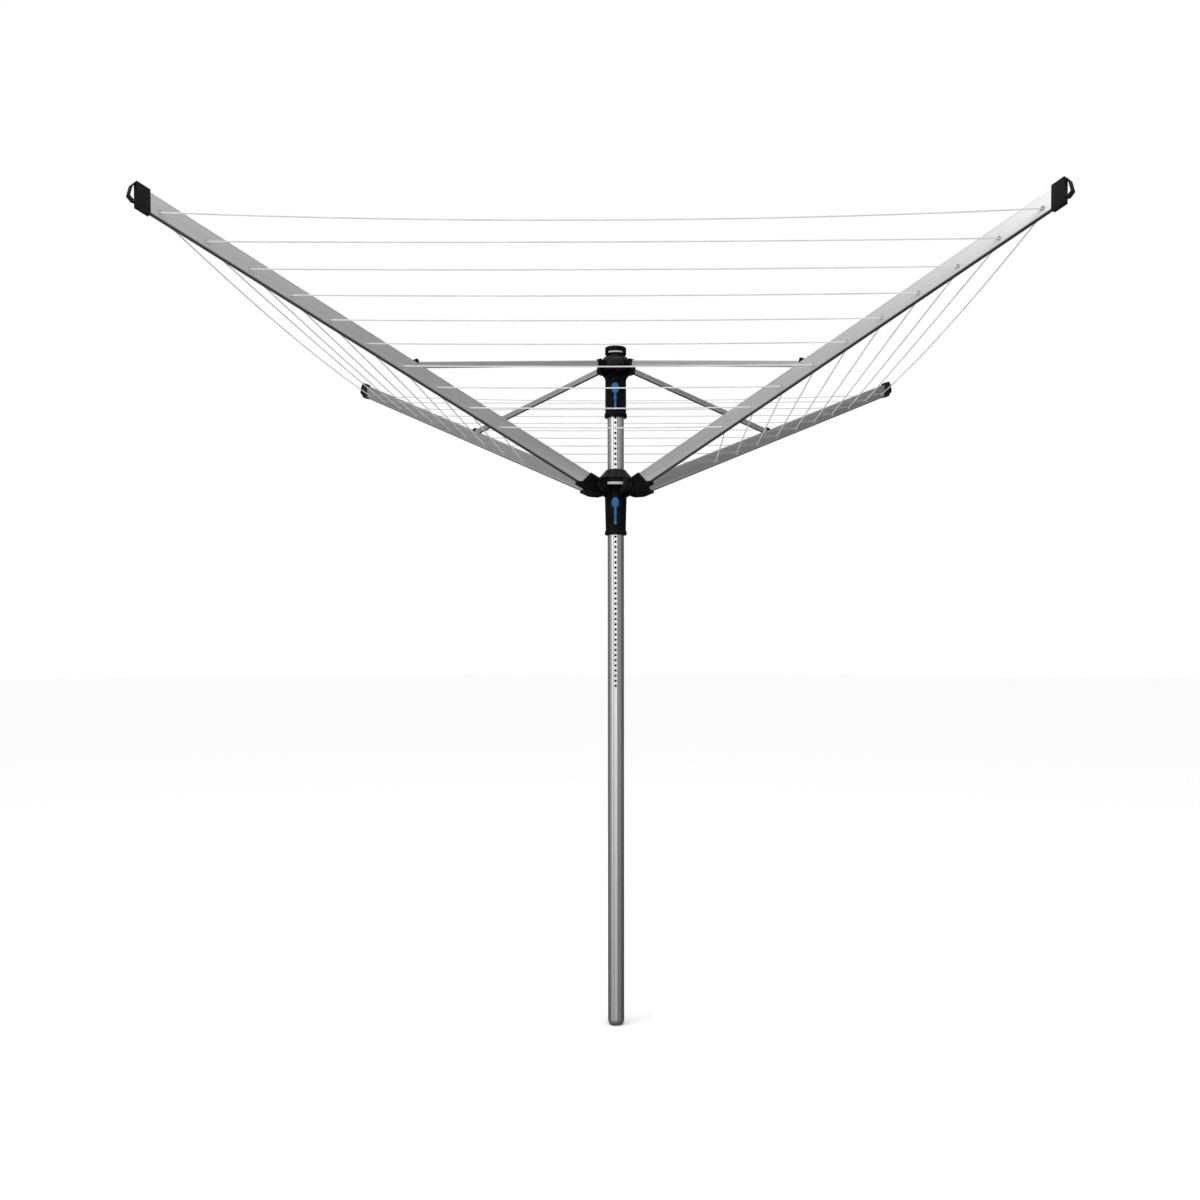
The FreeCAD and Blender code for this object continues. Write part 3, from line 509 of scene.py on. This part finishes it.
def moulded(node, width, material, slot, steps=2):
    """A CAD piece with its edges rounded as a moulding's are. It stands for the node."""
    bm = bmesh.new()
    bm.from_mesh(frame["nodes"][node].data)
    for layer in list(bm.loops.layers.uv):
        bm.loops.layers.uv.remove(layer)
    bmesh.ops.remove_doubles(bm, verts=bm.verts, dist=MERGE_DISTANCE)
    bmesh.ops.dissolve_limit(bm, angle_limit=FLAT_ANGLE, verts=bm.verts, edges=bm.edges)
    mesh = bpy.data.meshes.new(node)
    bm.to_mesh(mesh)
    bm.free()
    for spare in [a for a in mesh.attributes if "normal" in a.name]:
        mesh.attributes.remove(spare)
    raw = bpy.data.objects.new(node + "_raw", mesh)
    bpy.context.scene.collection.objects.link(raw)
    rounding = raw.modifiers.new("rounding", "BEVEL")
    rounding.width = width
    rounding.segments = steps
    rounding.limit_method = "ANGLE"
    rounding.angle_limit = ROUNDED_ANGLE
    rounding.use_clamp_overlap = True
    body = frame["nodes"][node]["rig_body"]
    return new_piece(node + "_moulding", evaluated_mesh(raw), body, material, slot, node)


def tube_mesh(name, paths, radius, sides=10):
    """Round tubes along smooth paths, as one mesh."""
    curve = bpy.data.curves.new(name, "CURVE")
    curve.dimensions = "3D"
    curve.bevel_depth = radius
    curve.bevel_resolution = max(0, sides // 4)
    curve.use_fill_caps = True
    curve.resolution_u = 6
    for path in paths:
        spline = curve.splines.new("NURBS")
        spline.points.add(len(path) - 1)
        for point, place in zip(spline.points, path):
            point.co = (*place, 1)
        spline.order_u = 3
        spline.use_endpoint_u = True
    return evaluated_mesh_of_curve(name, curve)


def evaluated_mesh_of_curve(name, curve):
    holder = bpy.data.objects.new(name + "_curve", curve)
    bpy.context.scene.collection.objects.link(holder)
    return evaluated_mesh(holder)


def bead_mesh(name, runs, width, proud, steps=5):
    """Low half-round beads: each run gives its two ends, the way its width lies and the way it stands."""
    bm = bmesh.new()
    for start, end, wide, out in runs:
        rings = []
        for place in (start, end):
            ring = []
            for i in range(steps + 1):
                turn = math.pi * i / steps
                ring.append(bm.verts.new(
                    place + wide * (width / 2 * math.cos(turn)) + out * (proud * math.sin(turn))
                ))
            rings.append(ring)
        for i in range(steps):
            bm.faces.new((rings[0][i], rings[0][i + 1], rings[1][i + 1], rings[1][i]))
        bm.faces.new((rings[0][0], rings[1][0], rings[1][-1], rings[0][-1]))
        bm.faces.new(rings[0][::-1])
        bm.faces.new(rings[1])
    bmesh.ops.recalc_face_normals(bm, faces=bm.faces)
    mesh = bpy.data.meshes.new(name)
    bm.to_mesh(mesh)
    bm.free()
    return mesh


# --- Hoods of the upper cover -------------------------------------------------------------------

def make_hood(corner, material):
    """The cover's shell carried on over a strut's slot."""
    outline = HOOD_PROFILE + HOOD_INNER
    bm = bmesh.new()
    rings = []
    for i in range(HOOD_STEPS + 1):
        turn = math.radians(CORNERS[corner]) + HOOD_HALF_TURN * (2 * i / HOOD_STEPS - 1)
        rings.append([bm.verts.new((r * math.cos(turn), r * math.sin(turn), z)) for r, z in outline])
    for ring, after in zip(rings, rings[1:]):
        for j in range(len(outline)):
            k = (j + 1) % len(outline)
            bm.faces.new((ring[j], ring[k], after[k], after[j]))
    bm.faces.new(rings[0][::-1])
    bm.faces.new(rings[-1])
    bmesh.ops.recalc_face_normals(bm, faces=bm.faces)
    mesh = bpy.data.meshes.new(corner + "_cover_hood")
    bm.to_mesh(mesh)
    bm.free()
    new_piece(corner + "_cover_hood", mesh, "upper_hub", material, "black_cover")


# --- Lines --------------------------------------------------------------------------------------
def hole_along(i):
    return LINE_FIRST - i * LINE_PITCH


def line_corner(corner, i):
    """Where the line turns: on the arm's middle plane, half the arm's width outward of the hole."""
    azimuth = CORNERS[corner]
    hole = arm_point(azimuth, hole_along(i), -LINE_DROP)
    return hole + arm_axes(azimuth)[0] * ARM_HALF


def half_line(name, start, middle, sag):
    """Half of one stretch of line, from inside its arm to the middle of the side."""
    path = []
    for k in range(HALF_LINE_STEPS + 1):
        share = k / HALF_LINE_STEPS
        drop = sag * (1 - (1 - share) ** 2)
        path.append(start.lerp(middle, share) - Vector((0, 0, drop)))
    return tube_mesh(name, [path], LINE_R, LINE_SIDES)


def make_lines(material):
    for corner in CORNERS:
        far = NEXT_CORNER[corner]
        side = SIDES[corner]
        for i in range(LINE_COUNT):
            ends = (line_corner(corner, i), line_corner(far, i))
            middle = (ends[0] + ends[1]) / 2
            way = (ends[1] - ends[0]).normalized()
            sag = OUTER_SAG if i == 0 else INNER_SAG * (1 - 0.06 * i)
            for end, name, toward in ((ends[0], corner, way), (ends[1], far, -way)):
                start = end + toward * LINE_BEND
                piece_name = f"{side}_line_{i + 1:02d}_{name}_half"
                mesh = half_line(piece_name, start, middle, sag)
                piece = new_piece(piece_name, mesh, name + "_arm", material, "line_pvc", side + "_lines")
                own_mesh(piece)


def make_line_bends(material):
    """The bends inside the arms. In the front left arm the line steps in to the next hole instead."""
    for corner in CORNERS:
        before = [name for name, after in NEXT_CORNER.items() if after == corner][0]
        paths = []
        for i in range(LINE_COUNT):
            here = line_corner(corner, i)
            to_next = (line_corner(NEXT_CORNER[corner], i) - here).normalized() * LINE_BEND
            to_last = (line_corner(before, i) - here).normalized() * LINE_BEND
            if corner != "front_left":
                paths.append([here + to_last, here, here + to_next])
            elif i + 1 < LINE_COUNT:
                inner = line_corner(corner, i + 1)
                step = (inner - here).normalized() * (2 * LINE_BEND)
                leave = (line_corner(NEXT_CORNER[corner], i + 1) - inner).normalized() * LINE_BEND
                paths.append([here + to_last, here, here + step, (here + inner) / 2,
                              inner - step, inner, inner + leave])
        mesh = tube_mesh(corner + "_line_bends", paths, LINE_R, LINE_SIDES)
        new_piece(corner + "_line_bends", mesh, corner + "_arm", material, "line_pvc")


def knot_path(centre, size, azimuth):
    """A trefoil, the shape of a plain overhand knot pulled snug."""
    outward, side, up = arm_axes(azimuth)
    path = []
    for k in range(KNOT_STEPS + 1):
        turn = 2 * math.pi * k / KNOT_STEPS
        path.append(
            centre
            + up * (size * (math.sin(turn) + 2 * math.sin(2 * turn)) / 3)
            + outward * (size * (math.cos(turn) - 2 * math.cos(2 * turn)) / 3)
            - side * (size * math.sin(3 * turn) / 2.2)
        )
    return path


def make_line_knots(material):
    corner = "front_left"
    azimuth = CORNERS[corner]
    first = line_corner(corner, 0)
    last = line_corner(corner, LINE_COUNT - 1)
    leave = (line_corner(NEXT_CORNER[corner], 0) - first).normalized() * LINE_BEND
    arrive = (line_corner("back_left", LINE_COUNT - 1) - last).normalized() * LINE_BEND
    paths = [knot_path(first, KNOT_SIZE, azimuth), [first, first + leave * 0.5, first + leave],
             knot_path(last, KNOT_SIZE, azimuth), [last, last + arrive * 0.5, last + arrive]]
    mesh = tube_mesh("line_end_knots", paths, LINE_R, LINE_SIDES)
    new_piece("line_end_knots", mesh, "front_left_arm", material, "line_pvc")


# --- Beads drawn into the arms and struts -------------------------------------------------------

def make_arm_beads(corner, material):
    azimuth = CORNERS[corner]
    side = arm_axes(azimuth)[1]
    outward_up = (arm_point(azimuth, 0, 1) - arm_point(azimuth, 0, 0)).normalized()
    for number, (above, width, proud) in enumerate(ARM_BEADS, 1):
        runs = []
        for sign in (-1, 1):
            across = sign * (ARM_HALF - BEAD_SINK)
            start = arm_point(azimuth, ARM_BEAD_START, above, across)
            end = arm_point(azimuth, ARM_BEAD_END, above, across)
            runs.append((start, end, outward_up, side * sign))
        name = f"{corner}_arm_bead_{number}"
        new_piece(name, bead_mesh(name, runs, width, proud), corner + "_arm", material, "aluminium_arm")


def make_strut_beads(corner, material):
    azimuth = CORNERS[corner]
    side = arm_axes(azimuth)[1]
    square = (strut_point(azimuth, 0, 1) - strut_point(azimuth, 0, 0)).normalized()
    above, width, proud = STRUT_BEAD
    runs = []
    for sign in (-1, 1):
        across = sign * (STRUT_HALF - BEAD_SINK)
        start = strut_point(azimuth, STRUT_BEAD_START, above, across)
        end = strut_point(azimuth, STRUT_BEAD_END, above, across)
        runs.append((start, end, square, side * sign))
    name = corner + "_strut_bead"
    new_piece(name, bead_mesh(name, runs, width, proud), corner + "_strut", material, "aluminium_strut")


# --- The whole ----------------------------------------------------------------------------------
def paint(material, *nodes):
    for node in nodes:
        mesh = frame["nodes"][node].data
        mesh.materials.clear()
        mesh.materials.append(material)


def main():
    stage_camera()
    stage_floor()
    stage_world()
    stage_lights()

    post = aluminium("aluminium_post", (0, 0, 1), (1, 0, 0), 0.76, 0.22, painted_shade_r=POST_SHADE_R)
    plastic = black_moulding("black_plastic", 0.002, 0.46)
    cap = black_moulding("black_end_cap", 0.008, 0.5)
    cover = black_moulding("black_cover", 0.002, 0.32, 2600.0, 0.03)
    foot = pale_moulding("foot_plastic", (0.07, 0.07, 0.071), (0.1, 0.1, 0.101), 0.4)
    washer = pale_moulding("washer_plastic", (0.1, 0.1, 0.1), (0.14, 0.14, 0.14), 0.45)
    blue = blue_moulding()
    natural = pale_moulding("natural_plastic", (0.62, 0.6, 0.55), (0.74, 0.72, 0.67), 0.4)
    eyelet = pale_moulding("eyelet_plastic", (0.34, 0.34, 0.34), (0.46, 0.46, 0.46), 0.4)
    badge = pale_moulding("badge_plastic", (0.32, 0.32, 0.325), (0.46, 0.46, 0.465), 0.3)
    pins = steel("steel_pin", 0.62, 0.28)
    dark_pins = steel("black_steel", 0.012, 0.45)
    spring = steel("spring_steel", 0.42, 0.34)
    rivets = rivet_steel()
    coating = line_coating()

    paint(post, "post_tube")
    paint(foot, "foot_bearing")
    paint(washer, "foot_thrust_washer")
    paint(natural, "foot_bush", "upper_slide_bush", "lower_slide_bush")
    paint(pins, "upper_strut_pins", "upper_cover_screws", "upper_lever_pin")
    paint(pins, "lower_cover_screws", "lower_lever_pin")
    paint(dark_pins, "lower_arm_pin_stubs")
    paint(spring, "upper_lever_spring", "lower_lever_spring")
    paint(badge, "top_knob_inlay", "lower_badge")

    moulded("top_knob", 0.0008, cover, "black_cover")
    moulded("upper_cover", 0.0008, cover, "black_cover")
    moulded("lower_cover", 0.0008, cover, "black_cover")
    moulded("upper_housing", 0.0006, plastic, "black_plastic")
    moulded("lower_housing", 0.0008, plastic, "black_plastic")
    moulded("upper_release_lever", 0.0005, blue, "blue_plastic")
    moulded("lower_release_lever", 0.0005, blue, "blue_plastic")

    for corner, azimuth in CORNERS.items():
        along, across = bar_axes(arm_point, azimuth)
        arm = aluminium("aluminium_arm_" + corner, along, across, 0.78, 0.32)
        along, across = bar_axes(strut_point, azimuth)
        strut = aluminium("aluminium_strut_" + corner, along, across, 0.76, 0.3)
        paint(arm, corner + "_arm_channel")
        paint(strut, corner + "_strut_bar")
        paint(eyelet, corner + "_eyelets")
        paint(rivets, corner + "_arm_rivets")
        moulded(corner + "_end_cap", 0.0012, cap, "black_plastic")
        moulded(corner + "_root_socket", 0.0012, plastic, "black_plastic")
        moulded(corner + "_strut_inner_end", 0.0008, plastic, "black_plastic")
        moulded(corner + "_strut_outer_end", 0.0008, plastic, "black_plastic")
        make_hood(corner, cover)
        make_arm_beads(corner, arm)
        make_strut_beads(corner, strut)

    make_lines(coating)
    make_line_bends(coating)
    make_line_knots(coating)

    bpy.context.scene.view_settings.view_transform = "Standard"


main()
